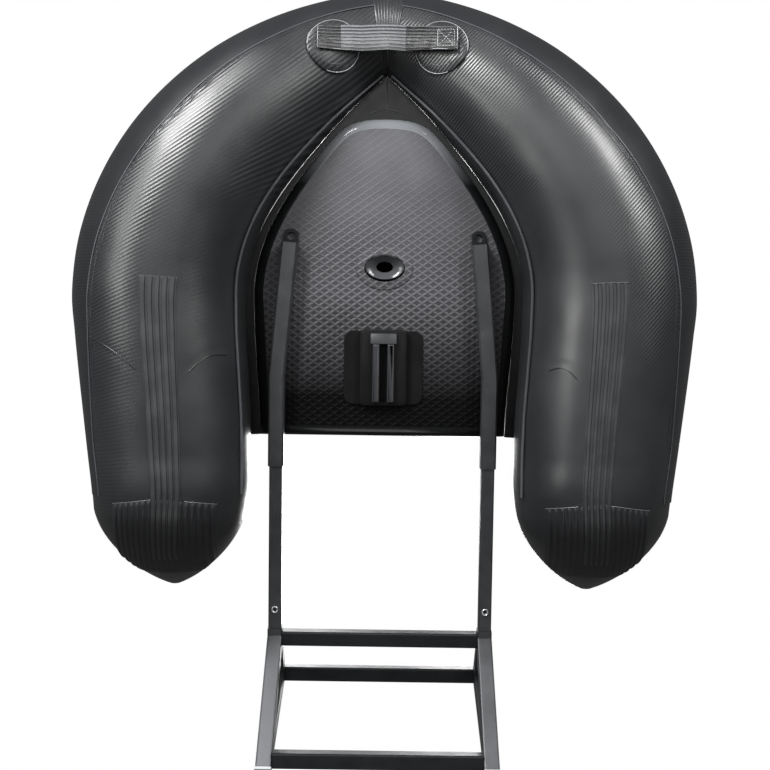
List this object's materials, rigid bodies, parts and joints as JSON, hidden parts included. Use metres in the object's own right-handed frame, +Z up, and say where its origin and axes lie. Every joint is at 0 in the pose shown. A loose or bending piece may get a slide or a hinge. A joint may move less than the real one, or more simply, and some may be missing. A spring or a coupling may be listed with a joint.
{
  "type": "float tube with footrest frame",
  "caption": "U-shaped inflatable float tube for one person, with a thick seat floor, folding backrest and a footrest frame that slides out ahead of the open front.",
  "frame": {"origin": "middle of the outline box, on the surface that the boat stands on", "axes": "+Z up, +Y towards the closed stern, -Y towards the open front and the footrest, +X to the rider's left"},
  "size_m": [1.1722, 1.4492, 0.654],
  "materials": {
    "tube_pvc": "semi-gloss coated fabric",
    "patch_rubber": "ribbed, satin",
    "floor_foam": "embossed",
    "moulded_plastic": "moulded",
    "frame_metal": "powder coated, satin",
    "cap_plastic": "moulded",
    "webbing": "woven",
    "cushion_fabric": "woven",
    "ring_steel": "satin"
  },
  "bodies": {
    "hull": {"air_valve_left": "moulded_plastic", "air_valve_right": "moulded_plastic", "backrest_hinge": "webbing", "drain_sleeve": "moulded_plastic", "fin_base": "moulded_plastic", "fin_cap": "moulded_plastic", "fin_patch": "patch_rubber", "fin_rail_left": "moulded_plastic", "fin_rail_right": "moulded_plastic", "floor": "floor_foam", "floor_web": "tube_pvc", "handle_patch_left": "patch_rubber", "handle_patch_right": "patch_rubber", "hinge_flap": "webbing", "keel_strip_left": "patch_rubber", "keel_strip_right": "patch_rubber", "nose_cone_left": "tube_pvc", "nose_cone_right": "tube_pvc", "nose_patch_left": "patch_rubber", "nose_patch_right": "patch_rubber", "outer_rail_left": "frame_metal", "outer_rail_right": "frame_metal", "rail_tongue_left": "frame_metal", "rail_tongue_right": "frame_metal", "ring_patch_left_front": "patch_rubber", "ring_patch_left_rear": "patch_rubber", "ring_patch_right_front": "patch_rubber", "ring_patch_right_rear": "patch_rubber", "seat_cushion": "cushion_fabric", "stern_handle": "webbing", "tow_ring_left_front": "ring_steel", "tow_ring_left_rear": "ring_steel", "tow_ring_right_front": "ring_steel", "tow_ring_right_rear": "ring_steel", "tube_left": "tube_pvc", "tube_right": "tube_pvc", "welt_left": "tube_pvc", "welt_right": "tube_pvc"},
    "footrest": {"crossbar_lower": "frame_metal", "crossbar_middle": "frame_metal", "crossbar_upper": "frame_metal", "foot_cap_left": "cap_plastic", "foot_cap_right": "cap_plastic", "footrest_arm_left": "frame_metal", "footrest_arm_right": "frame_metal", "footrest_leg_left": "frame_metal", "footrest_leg_right": "frame_metal", "inner_rail_left": "frame_metal", "inner_rail_right": "frame_metal"},
    "backrest": {"backrest_pad": "cushion_fabric"}
  },
  "joints": [
    {"name": "footrest_slide", "type": "slide", "parent": "hull", "child": "footrest", "axis": [0, -0.9969, 0.0785], "range_m": [-0.05, 0.05]},
    {"name": "backrest_fold", "type": "hinge", "parent": "hull", "child": "backrest", "pos_m": [0, 0.27779, 0.32901], "axis": [1, 0, 0], "range_deg": [0, 97]}
  ]
}
